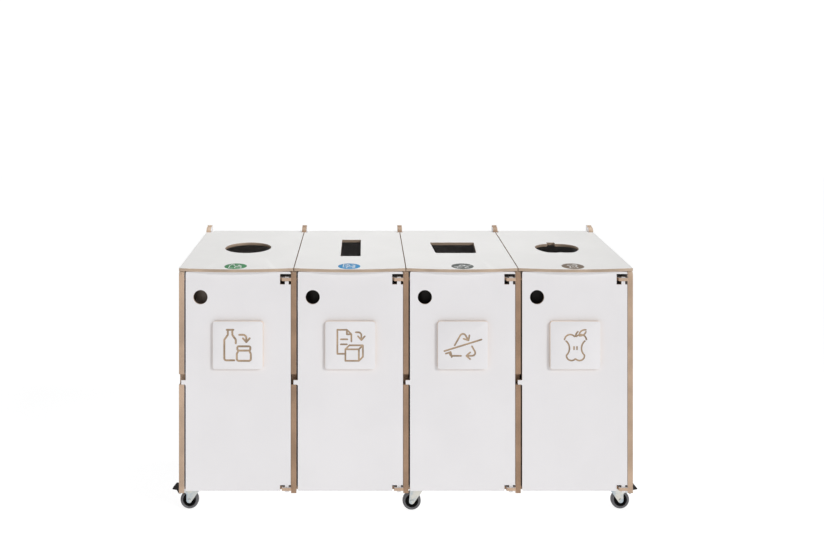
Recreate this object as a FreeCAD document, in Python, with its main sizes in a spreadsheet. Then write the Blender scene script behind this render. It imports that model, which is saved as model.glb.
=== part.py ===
import FreeCAD, Part
import math
import os
import Sketcher
from FreeCAD import Placement, Rotation, Vector

# A four-bay recycling station of laminated birch plywood on six swivel casters.
# Frame: +X to the right, the doors face -Y, +Z up; the origin is on the floor, in the middle.
# Depths in the sheet are measured back from the plane of the door fronts, heights from the floor.

DIMENSIONS = {
    # whole station
    "pitch": 450, "side_ply": 21, "ply": 12, "full_depth": 728,
    # uprights
    "upright_bottom": 102, "nose_radius": 20, "latch_depth": 25, "latch_low": 537, "latch_high": 579,
    "ear_radius": 25, "ear_rise": 31.5, "ear_lean": 13, "ear_tip_radius": 3, "ear_crown": 20,
    # lids and their hinge
    "slope": 7, "hinge_back": 693, "hinge_height": 1083.5, "lid_reach": 697.5, "lid_tail": 8,
    "lid_bow": 20, "lid_gap": 4, "lid_seat": 0.5, "notch_reach": 26, "notch_side": 4,
    "hinge_pin": 6, "hinge_play": 0.1, "hinge_grip": 20,
    # lid openings, about a middle that lies opening_reach in front of the hinge
    "opening_reach": 340, "bottle_hole": 200, "paper_width": 85, "paper_length": 310,
    "carton_width": 196, "carton_shoulder": 176, "carton_nose": 150, "carton_length": 200,
    "carton_corner": 14, "apple_width": 188, "apple_back": 72, "apple_front": 86,
    "apple_lobe": 58, "apple_lobe_radius": 62, "apple_cheek": 120.7, "stalk_left": 28,
    "stalk_right": 8, "stalk_end": 100,
    # doors and their wooden pivots
    "door_bottom": 111, "door_top": 990, "latch_gap": 6, "pivot_gap": 1.5, "door_corner": 6,
    "pivot_inset": 16, "pivot_width": 15, "pivot_hole": 19.4, "pivot_relief": 43,
    "low_relief": 134, "high_relief_low": 939, "high_relief_top": 981, "low_pivot_tip": 105,
    "high_pivot_tip": 969, "tab_reach": 17.5, "tab_high": 555, "tab_play": 0.5, "tab_chamfer": 4,
    "finger_hole": 57, "finger_inset": 59.5, "finger_height": 888,
    # shelves, back and tongues
    "panel_setback": 14, "bottom_height": 113.5, "frame_height": 953.5, "tongue": 37,
    "tongue_nose": 7, "tongue_corner": 3, "back_front": 688, "back_top": 1064,
    "bag_side": 30, "bag_front": 42, "bag_back": 610, "bag_corner": 40,
    # sign plates
    "sign_width": 201, "sign_low": 601.5, "sign_high": 793.5, "sign_corner": 11,
    # inner bins
    "bin_width": 388, "bin_front": 38, "bin_depth": 620, "bin_height": 800, "bin_wall": 3,
    "bin_corner": 45, "bin_taper": 1, "bin_rim": 9,
    # casters
    "caster_inset": 35, "caster_middle": 49.5, "caster_front": 100, "caster_front_end": 113,
    "caster_back": 628,
    "wheel_radius": 37.5, "tyre_inner": 26.5, "tyre_width": 24, "tread_round": 7,
    "hub_width": 27, "hub_boss": 10, "hub_web": 10, "hub_rim": 4, "rim_step": 1.5,
    "axle": 8, "axle_play": 0.1, "trail": 22, "leg_inner": 15, "leg_ply": 2.5, "fork_top": 92.7,
    "fork_foot": 11, "axle_head": 13, "axle_head_ply": 4, "arm_reach": 62, "arm_low": 70,
    "arm_high": 78, "arm_corner": 9, "swivel_disc": 28, "swivel_pin": 10, "swivel_cup": 40,
    "swivel_gap": 0.4, "king_head": 16, "king_head_ply": 3,
    "pad_ply": 12, "pad_gap": 0.5, "pad_beside": 5, "pad_over": 10, "plate_size": 60,
    "plate_ply": 2.5,
    "screw_span": 38, "screw": 6, "screw_head": 10, "screw_head_rise": 4, "screw_bite": 6,
    "pedal_pivot_reach": 36, "pedal_pivot_height": 82, "pedal_pin": 5, "pedal_width": 26,
    # dowels between the uprights and the panels
    "dowel": 8, "dowel_grip": 20, "dowel_blind": 15, "dowel_front": 70, "dowel_rear": 600,
    "dowel_low": 330, "dowel_high": 800,
}

BAYS = (1, 2, 3, 4)
UPRIGHTS = (1, 2, 3, 4, 5)

doc = FreeCAD.newDocument("recycling_station")
sheet = doc.addObject("Spreadsheet::Sheet", "dims")
for row, (alias, number) in enumerate(DIMENSIONS.items(), 1):
    sheet.set("A%d" % row, alias)
    sheet.set("B%d" % row, str(number))
    sheet.setAlias("B%d" % row, alias)
doc.recompute()

asker = doc.addObject("App::FeaturePython", "asker")
parts = {}


def value(formula):
    """The number that a formula of the sheet's names gives."""
    return float(asker.evalExpression(str(formula)))


def point(u, v):
    return Vector(value(u), value(v), 0)


def bind(thing, **formulas):
    """Bind properties to formulas: Width="dims.ply", and at=(x, y, z) for the place."""
    for name, formula in formulas.items():
        if name == "at":
            for axis, place in zip("xyz", formula):
                thing.setExpression("Placement.Base." + axis, str(place))
        else:
            thing.setExpression(name, str(formula))


def keep(label, thing):
    """Make this object the sub-part of that name."""
    thing.Label = label
    parts[label] = thing
    return thing


# ---- sketches and PartDesign helpers ----

def new_sketch(body, plane_role):
    sketch = body.newObject("Sketcher::SketchObject", body.Name + "_sketch")
    plane = [item for item in body.Origin.OriginFeatures if item.Role == plane_role][0]
    sketch.AttachmentSupport = (plane, [""])
    sketch.MapMode = "FlatFace"
    return sketch


def constrain(sketch, kind, *where_and_formula):
    """Add a constraint whose size, the last argument, is a formula."""
    *where, formula = where_and_formula
    index = sketch.addConstraint(Sketcher.Constraint(kind, *where, value(formula)))
    sketch.setExpression("Constraints[%d]" % index, str(formula))


def draw_loop(sketch, corners):
    """A closed outline. Each corner is (u, v), or (u, v, radius, side) where the edge that leaves
    it is an arc of that radius, bulging to the right (1) or to the left (-1) of its way."""
    first = sketch.GeometryCount
    count = len(corners)
    for index, corner in enumerate(corners):
        start = point(*corner[:2])
        end = point(*corners[(index + 1) % count][:2])
        if len(corner) == 2:
            sketch.addGeometry(Part.LineSegment(start, end))
            continue
        chord = end - start
        radius = value(corner[2])
        rise = radius - math.sqrt(radius ** 2 - chord.Length ** 2 / 4)
        outward = Vector(chord.y, -chord.x, 0).normalize() * (rise * corner[3])
        sketch.addGeometry(Part.Arc(start, (start + end) / 2 + outward, end))
    for index, corner in enumerate(corners):
        this, following = first + index, first + (index + 1) % count
        this_end, next_start = 2, 1
        if len(corner) > 2 and corner[3] < 0:
            this_end = 1
        if len(corners[(index + 1) % count]) > 2 and corners[(index + 1) % count][3] < 0:
            next_start = 2
        sketch.addConstraint(Sketcher.Constraint("Coincident", this, this_end, following, next_start))
    for index, corner in enumerate(corners):
        vertex = 2 if len(corner) > 2 and corner[3] < 0 else 1
        constrain(sketch, "DistanceX", -1, 1, first + index, vertex, corner[0])
        constrain(sketch, "DistanceY", -1, 1, first + index, vertex, corner[1])
        if len(corner) > 2:
            constrain(sketch, "Radius", first + index, corner[2])


def draw_circle(sketch, u, v, diameter):
    index = sketch.addGeometry(Part.Circle(point(u, v), Vector(0, 0, 1), value(diameter) / 2))
    constrain(sketch, "DistanceX", -1, 1, index, 3, u)
    constrain(sketch, "DistanceY", -1, 1, index, 3, v)
    constrain(sketch, "Diameter", index, diameter)


def pad(body, sketch, length, side="One side"):
    feature = body.newObject("PartDesign::Pad", body.Name + "_pad")
    feature.Profile = sketch
    feature.SideType = side
    bind(feature, Length=length)
    body.Tip = feature
    return feature


def pocket_through(body, sketch):
    """Cut the sketch through the whole body, both ways, and see that it took something away."""
    doc.recompute()
    before = body.Shape.Volume
    feature = body.newObject("PartDesign::Pocket", body.Name + "_pocket")
    feature.Profile = sketch
    feature.Type = "ThroughAll"
    feature.SideType = "Symmetric"
    body.Tip = feature
    doc.recompute()
    if body.Shape.Volume > before - 1:
        raise SystemExit(body.Name + ": a pocket cut nothing")
    return feature


def round_edges(body, radius, direction, places):
    """Fillet the straight edges along one direction that pass nearest to the given places."""
    doc.recompute()
    base = body.Tip
    names = []
    for place in places:
        nearest = None
        for number, edge in enumerate(base.Shape.Edges, 1):
            if len(edge.Vertexes) != 2 or not isinstance(edge.Curve, (Part.Line, Part.LineSegment)):
                continue
            along = (edge.Vertexes[1].Point - edge.Vertexes[0].Point).normalize()
            if abs(along.dot(direction)) < 0.999:
                continue
            offset = edge.CenterOfMass - place
            gap = (offset - direction * offset.dot(direction)).Length
            if nearest is None or gap < nearest[0]:
                nearest = (gap, "Edge%d" % number)
        names.append(nearest[1])
    feature = body.newObject("PartDesign::Fillet", body.Name + "_round")
    feature.Base = (base, names)
    bind(feature, Radius=radius)
    body.Tip = feature


def sheet_body(name, plane_role, corners, length, side="One side", circles=()):
    """A board: one outline with round holes, padded to its thickness."""
    body = doc.addObject("PartDesign::Body", name + "_body")
    sketch = new_sketch(body, plane_role)
    draw_loop(sketch, corners)
    for circle in circles:
        draw_circle(sketch, *circle)
    pad(body, sketch, length, side)
    return body


def turned_body(name, corners):
    """A ring about its own Y axis. Corners are (radius, place along the axis)."""
    body = doc.addObject("PartDesign::Body", name + "_body")
    sketch = new_sketch(body, "XY_Plane")
    draw_loop(sketch, corners)
    feature = body.newObject("PartDesign::Revolution", body.Name + "_turn")
    feature.Profile = sketch
    feature.ReferenceAxis = (sketch, ["V_Axis"])
    feature.Angle = 360
    body.Tip = feature
    return body


# ---- Part workbench helpers ----

def block(name, at, size):
    thing = doc.addObject("Part::Box", name)
    bind(thing, at=at, Length=size[0], Width=size[1], Height=size[2])
    return thing


def rod(name, at, direction, diameter, length):
    thing = doc.addObject("Part::Cylinder", name)
    thing.Placement = Placement(Vector(), Rotation(Vector(0, 0, 1), direction))
    bind(thing, at=at, Radius="(%s) / 2" % diameter, Height=length)
    return thing


def joined(name, things):
    thing = doc.addObject("Part::MultiFuse", name)
    thing.Shapes = things
    return thing


def grouped(name, things):
    thing = doc.addObject("Part::Compound", name)
    thing.Links = things
    return thing


def without(name, base, tool):
    thing = doc.addObject("Part::Cut", name)
    thing.Base = base
    thing.Tool = tool
    return thing


# ---- places worked out from the sheet ----

X, Y, Z = Vector(1, 0, 0), Vector(0, 1, 0), Vector(0, 0, 1)
LID_BOW_EDGE = ("(dims.hinge_back - (dims.lid_reach + dims.lid_bow) * cos(dims.slope)"
                " - dims.ply / 2 * sin(dims.slope))")
FRONT = "-(dims.full_depth + %s) / 2" % LID_BOW_EDGE    # the plane of the door fronts
BAY_HALF = "(dims.pitch - dims.side_ply) / 2"
PIVOT_X = "(%s - dims.pivot_gap - dims.pivot_inset)" % BAY_HALF
SEAT = "(dims.ply / 2 + dims.lid_seat)"                 # hinge axis down to the uprights' top edge
TOP_FRONT = "dims.hinge_height - tan(dims.slope) * dims.hinge_back - %s / cos(dims.slope)" % SEAT
EAR_TIP = ("dims.hinge_back + dims.ear_lean", "dims.hinge_height + dims.ear_rise")


def upright_x(number):
    return "dims.pitch * %g" % (number - 3)


def bay_x(number):
    return "dims.pitch * %g" % (number - 2.5)


def behind(depth):
    """World Y of a depth behind the door fronts."""
    return "%s + %s" % (FRONT, depth)


# ---- uprights ----

def on_ear(turn):
    """A point on the ear's round front, at an angle about the hinge axis."""
    return ("dims.hinge_back + dims.ear_radius * cos(%s)" % turn,
            "dims.hinge_height + dims.ear_radius * sin(%s)" % turn, "dims.ear_radius", 1)


def upright_outline(latched):
    """Side view of an upright: depth behind the door fronts, height."""
    ear_foot = "sqrt(dims.ear_radius ^ 2 - %s ^ 2)" % SEAT
    foot = ("dims.hinge_back - %s * cos(dims.slope) + %s * sin(dims.slope)" % (ear_foot, SEAT),
            "dims.hinge_height - %s * sin(dims.slope) - %s * cos(dims.slope)" % (ear_foot, SEAT))
    corners = [("0", "dims.upright_bottom"), ("dims.full_depth", "dims.upright_bottom"),
               ("dims.full_depth", EAR_TIP[1]), EAR_TIP, on_ear("90 - dims.ear_crown"),
               on_ear("90 + dims.ear_crown"), foot, ("0", TOP_FRONT)]
    if latched:
        corners += [("0", "dims.latch_high"), ("dims.latch_depth", "dims.latch_high"),
                    ("dims.latch_depth", "dims.latch_low"), ("0", "dims.latch_low")]
    return corners


def make_upright(number, bores):
    name = "upright_%d" % number
    body = sheet_body(name, "YZ_Plane", upright_outline(latched=number < 5), "dims.side_ply",
                      "Symmetric")
    round_edges(body, "dims.nose_radius", X, [Vector(0, 0, value(TOP_FRONT))])
    tip = Vector(0, value(EAR_TIP[0]), value(EAR_TIP[1]))
    heel = Vector(0, value("dims.full_depth"), tip.z)
    round_edges(body, "dims.ear_tip_radius", X, [tip, heel])
    bind(body, at=(upright_x(number), FRONT, 0))
    keep(name, without(name, body, grouped(name + "_bores", bores)))


# ---- dowels: each one ties an upright to the panel or the two panels beside it ----

LOW_SHELF, HIGH_SHELF = "dims.bottom_height + dims.ply / 2", "dims.frame_height + dims.ply / 2"
BACK_MIDDLE = "dims.back_front + dims.ply / 2"
DOWEL_SPOTS = (
    ("dims.dowel_front", LOW_SHELF), ("dims.dowel_rear", LOW_SHELF),
    ("dims.dowel_front", HIGH_SHELF), ("dims.dowel_rear", HIGH_SHELF),
    (BACK_MIDDLE, "dims.dowel_low"), (BACK_MIDDLE, "dims.dowel_high"),
)


def reach(number, side, outer, inner):
    """How far a rod through an upright goes to one side: less at the station's two outer faces."""
    return outer if (number, side) in ((1, -1), (5, 1)) else inner


def upright_rods(name, number, spots, diameter, blind, through):
    """Rods along X through one upright at (depth, height) spots."""
    low = reach(number, -1, blind, through)
    high = reach(number, 1, blind, through)
    rods = []
    for index, (depth, height) in enumerate(spots, 1):
        at = ("%s - (%s)" % (upright_x(number), low), behind(depth), height)
        rods.append(rod("%s_%d_%d" % (name, number, index), at, X, diameter, "%s + %s" % (low, high)))
    return rods


def make_dowels():
    blind = "(dims.dowel_blind - dims.side_ply / 2)"
    through = "(dims.side_ply / 2 + dims.dowel_grip)"
    return {number: upright_rods("dowel", number, DOWEL_SPOTS, "dims.dowel", blind, through)
            for number in UPRIGHTS}


def make_lid_pins():
    blind = "(dims.dowel_blind - dims.side_ply / 2)"
    through = "(dims.side_ply / 2 + dims.notch_side + dims.hinge_grip)"
    spot = (("dims.hinge_back", "dims.hinge_height"),)
    return {number: upright_rods("lid_pin", number, spot, "dims.hinge_pin", blind, through)
            for number in UPRIGHTS}


# ---- panels between the uprights ----

def tongue_outline(half, depth):
    """A board from side to side with the pivot tongue at its front right, seen from above."""
    root = "%s - dims.tongue" % half
    return [("-(%s)" % half, "dims.panel_setback"), (root, "dims.panel_setback"),
            (root, "-dims.tongue_nose"), (half, "-dims.tongue_nose"), (half, depth),
            ("-(%s)" % half, depth)]


def shelf_body(name):
    """A shelf with the pivot hole in its tongue and the tongue's free corner rounded."""
    body = sheet_body(name, "XY_Plane", tongue_outline(BAY_HALF, "dims.back_front"), "dims.ply",
                      circles=[(PIVOT_X, "dims.ply / 2", "dims.pivot_hole")])
    corner = Vector(value("%s - dims.tongue" % BAY_HALF), value("-dims.tongue_nose"), 0)
    round_edges(body, "dims.tongue_corner", Z, [corner])
    return body


def make_bottom_panel(number):
    name = "bottom_panel_%d" % number
    body = shelf_body(name)
    bind(body, at=(bay_x(number), FRONT, "dims.bottom_height"))
    return name, body


def make_bag_frame(number):
    """The shelf that holds the bag open under the lid."""
    name = "bag_frame_%d" % number
    body = shelf_body(name)
    side = "%s - dims.bag_side" % BAY_HALF
    mouth = new_sketch(body, "XY_Plane")
    draw_loop(mouth, [("-(%s)" % side, "dims.bag_front"), (side, "dims.bag_front"),
                      (side, "dims.bag_back"), ("-(%s)" % side, "dims.bag_back")])
    pocket_through(body, mouth)
    half = value(side)
    ends = [value("dims.bag_front"), value("dims.bag_back")]
    round_edges(body, "dims.bag_corner", Z, [Vector(x, y, 0) for x in (-half, half) for y in ends])
    bind(body, at=(bay_x(number), FRONT, "dims.frame_height"))
    return name, body


def make_back_panel(number):
    name = "back_panel_%d" % number
    low = "dims.bottom_height"
    at = ("%s - (%s)" % (bay_x(number), BAY_HALF), behind("dims.back_front"), low)
    return name, block(name + "_board", at, ("2 * (%s)" % BAY_HALF, "dims.ply", "dims.back_top - " + low))


# ---- doors and sign plates ----

def door_outline():
    left = "-(%s) + dims.latch_gap" % BAY_HALF
    right = "%s - dims.pivot_gap" % BAY_HALF
    relief = "%s - dims.pivot_relief" % right
    pin_left = "%s - dims.pivot_width / 2" % PIVOT_X
    pin_right = "%s + dims.pivot_width / 2" % PIVOT_X
    tab = "%s - dims.tab_reach" % left
    tab_low = "(dims.latch_low + dims.tab_play)"
    return [
        (left, "dims.door_bottom"), (relief, "dims.door_bottom"), (relief, "dims.low_relief"),
        (pin_left, "dims.low_relief"), (pin_left, "dims.low_pivot_tip"),
        (pin_right, "dims.low_pivot_tip"), (pin_right, "dims.low_relief"),
        (right, "dims.low_relief"), (right, "dims.high_relief_low"),
        (pin_right, "dims.high_relief_low"), (pin_right, "dims.high_pivot_tip"),
        (pin_left, "dims.high_pivot_tip"), (pin_left, "dims.high_relief_low"),
        (relief, "dims.high_relief_low"), (relief, "dims.high_relief_top"),
        (right, "dims.high_relief_top"), (right, "dims.door_top"), (left, "dims.door_top"),
        (left, "dims.tab_high"), (tab, "dims.tab_high"), (tab, tab_low),
        ("%s - dims.tab_chamfer" % left, tab_low), (left, "%s - dims.tab_chamfer" % tab_low),
    ]


def make_door(number):
    name = "door_%d" % number
    finger = ("-(%s) + dims.latch_gap + dims.finger_inset" % BAY_HALF, "dims.finger_height",
              "dims.finger_hole")
    corners = door_outline()
    body = sheet_body(name, "XZ_Plane", corners, "dims.ply", circles=[finger])
    rounded = [corners[0], corners[16], corners[17]]
    round_edges(body, "dims.door_corner", Y, [Vector(value(u), 0, value(v)) for u, v in rounded])
    bind(body, at=(bay_x(number), behind("dims.ply"), 0))
    keep(name, body)


def make_sign_plate(number):
    name = "sign_plate_%d" % number
    half = "dims.sign_width / 2"
    corners = [("-(%s)" % half, "dims.sign_low"), (half, "dims.sign_low"),
               (half, "dims.sign_high"), ("-(%s)" % half, "dims.sign_high")]
    body = sheet_body(name, "XZ_Plane", corners, "dims.ply")
    round_edges(body, "dims.sign_corner", Y, [Vector(value(u), 0, value(v)) for u, v in corners])
    middle = "%s + (dims.latch_gap - dims.pivot_gap) / 2" % bay_x(number)
    bind(body, at=(middle, FRONT, 0))
    keep(name, body)


# ---- lids: drawn flat about their hinge axis, front towards -Y, then sloped ----

# Every opening is drawn about its own middle; y gives a place before (-) or behind it (+).

def bottle_opening(sketch, y):
    draw_circle(sketch, "0", y("0"), "dims.bottle_hole")


def paper_opening(sketch, y):
    half, front, back = "dims.paper_width / 2", y("-dims.paper_length / 2"), y("dims.paper_length / 2")
    draw_loop(sketch, [("-" + half, front), (half, front), (half, back), ("-" + half, back)])


def carton_opening(sketch, y):
    """Wider at the back, with rounded front corners."""
    nose, shoulder, back = "dims.carton_nose / 2", "dims.carton_shoulder / 2", "dims.carton_width / 2"
    front, rear = y("-dims.carton_length / 2"), y("dims.carton_length / 2")
    bend = y("-dims.carton_length / 2 + (dims.carton_shoulder - dims.carton_nose) / 2")
    draw_loop(sketch, [("-" + nose, front), (nose, front, "dims.carton_corner", 1),
                       (shoulder, bend), (back, rear), ("-" + back, rear),
                       ("-" + shoulder, bend, "dims.carton_corner", 1)])


def apple_opening(sketch, y):
    """Two low lobes at the front, round cheeks, and a slot for the stalk at the back."""
    side, lobe = "dims.apple_width / 2", "dims.apple_lobe"
    front, back, stalk_end = y("-dims.apple_front"), y("dims.apple_back"), y("dims.stalk_end")
    draw_loop(sketch, [
        ("0", front, "dims.apple_lobe_radius", 1), (lobe, front, "dims.apple_cheek", 1),
        (side, y("0"), "dims.apple_back", 1), (side + " - dims.apple_back", back),
        ("dims.stalk_right", back), ("dims.stalk_right", stalk_end),
        ("-dims.stalk_left", stalk_end), ("-dims.stalk_left", back, "dims.apple_back", 1),
        ("-" + side, y("0"), "dims.apple_cheek", 1), ("-" + lobe, front, "dims.apple_lobe_radius", 1)])


OPENINGS = {1: bottle_opening, 2: paper_opening, 3: carton_opening, 4: apple_opening}


def make_lid(number):
    name = "lid_%d" % number
    inner = "(dims.pitch - dims.lid_gap) / 2"
    outer = "(dims.pitch + dims.side_ply) / 2"
    left = "-(%s)" % (outer if number == 1 else inner)
    right = outer if number == 4 else inner
    clear = "%s - dims.notch_side" % BAY_HALF
    chord = "(%s - (%s))" % (right, left)
    bow = "%s ^ 2 / (8 * dims.lid_bow) + dims.lid_bow / 2" % chord
    corners = [(left, "-dims.lid_reach", bow, 1), (right, "-dims.lid_reach"),
               (right, "-dims.notch_reach"), (clear, "-dims.notch_reach"), (clear, "dims.lid_tail"),
               ("-(%s)" % clear, "dims.lid_tail"), ("-(%s)" % clear, "-dims.notch_reach"),
               (left, "-dims.notch_reach")]
    body = doc.addObject("PartDesign::Body", name + "_body")
    sketch = new_sketch(body, "XY_Plane")
    draw_loop(sketch, corners)
    OPENINGS[number](sketch, lambda place: "-dims.opening_reach + (%s)" % place)
    pad(body, sketch, "dims.ply", "Symmetric")
    body.Placement = Placement(Vector(), Rotation(X, value("dims.slope")))
    bind(body, at=(bay_x(number), behind("dims.hinge_back"), "dims.hinge_height"))
    depth = "dims.hinge_grip + 1"
    starts = {"left": "- (%s)" % clear, "right": "+ %s - (%s)" % (clear, depth)}
    bores = [rod("%s_bore_%s" % (name, side),
                 ("%s %s" % (bay_x(number), start), behind("dims.hinge_back"), "dims.hinge_height"),
                 X, "dims.hinge_pin + dims.hinge_play", depth) for side, start in starts.items()]
    keep(name, without(name, body, grouped(name + "_bores", bores)))


# ---- inner bins ----

def rounded_rectangle(sketch, half_x, low_y, high_y, corner):
    """A rectangle with round corners; the corner radius is a formula too."""
    inner_x = "%s - %s" % (half_x, corner)
    draw_loop(sketch, [
        ("-(%s)" % inner_x, low_y), (inner_x, low_y, corner, 1),
        (half_x, "%s + %s" % (low_y, corner)), (half_x, "%s - %s" % (high_y, corner), corner, 1),
        (inner_x, high_y), ("-(%s)" % inner_x, high_y, corner, 1),
        ("-(%s)" % half_x, "%s - %s" % (high_y, corner)),
        ("-(%s)" % half_x, "%s + %s" % (low_y, corner), corner, 1)])


def tub(name, wall, base, top):
    """A tapered block from the rim down; wall is how far it stands inside the bin's outside."""
    body = doc.addObject("PartDesign::Body", name)
    sketch = new_sketch(body, "XY_Plane")
    rounded_rectangle(sketch, "dims.bin_width / 2 - %s" % wall, wall, "dims.bin_depth - %s" % wall,
                      "(dims.bin_corner - %s)" % wall)
    feature = pad(body, sketch, "%s - (%s)" % (top, base))
    feature.Reversed = True
    feature.TaperAngle = -value("dims.bin_taper")
    bind(body, at=(0, 0, top))
    return body


def make_bin(number):
    name = "waste_bin_%d" % number
    outside = tub(name + "_outside", "dims.bin_rim", "0", "dims.bin_height")
    inside = tub(name + "_inside", "(dims.bin_rim + dims.bin_wall)", "dims.bin_wall",
                 "dims.bin_height + 1")
    rim = doc.addObject("PartDesign::Body", name + "_rim")
    edge = new_sketch(rim, "XY_Plane")
    rounded_rectangle(edge, "dims.bin_width / 2", "0", "dims.bin_depth", "dims.bin_corner")
    pad(rim, edge, "dims.bin_wall")
    bind(rim, at=(0, 0, "dims.bin_height - dims.bin_wall"))
    shell = joined(name + "_solid", [outside, rim])
    hollow = keep(name, without(name, shell, inside))
    bind(hollow, at=(bay_x(number), behind("dims.bin_front"), "dims.bottom_height + dims.ply"))


# ---- casters: drawn about the swivel axis with the wheel trailing towards +X ----

END_X = "(dims.pitch * 2 - dims.caster_inset)"
CASTERS = {
    "front_left": ("-" + END_X, "dims.caster_front_end", 180, True),
    "front_middle": ("dims.caster_middle", "dims.caster_front", 180, False),
    "front_right": (END_X, "dims.caster_front_end", 0, True),
    "rear_left": ("-" + END_X, "dims.caster_back", 180, True),
    "rear_middle": ("dims.caster_middle", "dims.caster_back", 180, False),
    "rear_right": (END_X, "dims.caster_back", 0, True),
}
PAD_BOTTOM = "(dims.bottom_height - dims.pad_ply)"
PLATE_BOTTOM = "(%s - dims.plate_ply)" % PAD_BOTTOM


def stand(thing, spot):
    """Put a caster's piece at its swivel axis, turned to trail its own way."""
    x, depth, turn, braked = CASTERS[spot]
    thing.Placement = Placement(Vector(), Rotation(Z, turn))
    bind(thing, at=(x, behind(depth), 0))


def screw_places(spot):
    x, depth, turn, braked = CASTERS[spot]
    half = "dims.screw_span / 2"
    return [("%s %s %s" % (x, sx, half), "%s %s %s" % (behind(depth), sy, half))
            for sx in "-+" for sy in "-+"]


def make_screws():
    """Pan-head screws up through the caster plates and pads into the bottom panels."""
    screws, drills = [], []
    length = "dims.plate_ply + dims.pad_ply + dims.screw_bite"
    for spot in CASTERS:
        for index, (x, y) in enumerate(screw_places(spot), 1):
            name = "screw_%s_%d" % (spot, index)
            shank = rod(name + "_shank", (x, y, PLATE_BOTTOM), Z, "dims.screw", length)
            head = rod(name + "_head", (x, y, PLATE_BOTTOM + " - dims.screw_head_rise"), Z,
                       "dims.screw_head", "dims.screw_head_rise")
            screws.append(joined(name, [shank, head]))
            drills.append(shank)
    keep("caster_screws", grouped("caster_screws", screws))
    return drills


def pad_reaches(spot):
    """How far a pad goes left and right of its swivel axis: at the ends it stops at the upright."""
    free = "dims.plate_size / 2 + dims.pad_beside"
    stopped = "dims.caster_inset - dims.side_ply / 2 - dims.pad_gap"
    return (stopped if spot.endswith("left") else free, stopped if spot.endswith("right") else free)


def make_pads(drills):
    """Plywood pads that bring the caster plates below the uprights' ends."""
    pads = []
    for spot, (x, depth, turn, braked) in CASTERS.items():
        left, right = pad_reaches(spot)
        front = "%s - dims.plate_size / 2 - dims.pad_over" % behind(depth)
        size = ("%s + %s" % (left, right), "dims.plate_size + 2 * dims.pad_over", "dims.pad_ply")
        pads.append(block("pad_" + spot, ("%s - (%s)" % (x, left), front, PAD_BOTTOM), size))
    raw = grouped("pads_raw", pads)
    keep("caster_pads", without("caster_pads", raw, drills))


def make_mounts(drills):
    """Top plate, raceway cup and headed king pin of each caster."""
    mounts = []
    half = "dims.plate_size / 2"
    cup_low = "(dims.fork_top + dims.swivel_gap)"
    head_low = "(dims.fork_top - dims.leg_ply - dims.swivel_gap - dims.king_head_ply)"
    for spot, (x, depth, turn, braked) in CASTERS.items():
        y = behind(depth)
        top = block("plate_" + spot, ("%s - %s" % (x, half), "%s - %s" % (y, half), PLATE_BOTTOM),
                    ("dims.plate_size", "dims.plate_size", "dims.plate_ply"))
        cup = rod("cup_" + spot, (x, y, cup_low), Z, "dims.swivel_cup", PLATE_BOTTOM + " - " + cup_low)
        pin = rod("king_" + spot, (x, y, head_low), Z, "dims.swivel_pin", PLATE_BOTTOM + " - " + head_low)
        head = rod("king_head_" + spot, (x, y, head_low), Z, "dims.king_head", "dims.king_head_ply")
        mounts.append(joined("mount_" + spot, [top, cup, pin, head]))
    raw = grouped("mounts_raw", mounts)
    keep("caster_mounts", without("caster_mounts", raw, drills))


def leg_outline(braked):
    """Side view of a pressed-steel fork: distance trailed behind the swivel axis, height."""
    outer = "dims.trail + dims.fork_foot"
    slant_foot = ("dims.trail - 0.79 * dims.fork_foot", "dims.wheel_radius - 0.61 * dims.fork_foot")
    corners = [("-dims.swivel_disc", "dims.fork_top - dims.leg_ply"),
               slant_foot + ("dims.fork_foot", 1), (outer, "dims.wheel_radius")]
    if braked:
        corners += [(outer, "dims.arm_low - dims.arm_corner - 1", "dims.arm_corner", -1),
                    (outer + " + dims.arm_corner - 1", "dims.arm_low - 1.5"),
                    ("dims.arm_reach", "dims.arm_low"), ("dims.arm_reach", "dims.arm_high"),
                    ("dims.pedal_pivot_reach", "dims.fork_top")]
    else:
        corners.append(("dims.swivel_disc", "dims.fork_top"))
    return corners + [("-dims.swivel_disc", "dims.fork_top")]


def cross_rod(name, spot, diameter, overhang):
    """A pin across the whole fork; spot is (distance trailed, height)."""
    at = (spot[0], "-(%s) / 2 - (%s)" % (FORK_WIDTH, overhang), spot[1])
    return rod(name, at, Y, diameter, "%s + 2 * (%s)" % (FORK_WIDTH, overhang))


FORK_WIDTH = "(2 * (dims.leg_inner + dims.leg_ply))"
PIN_PROUD = 1
AXLE = ("dims.trail", "dims.wheel_radius")
PEDAL_PIVOT = ("dims.pedal_pivot_reach", "dims.pedal_pivot_height")


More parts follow.
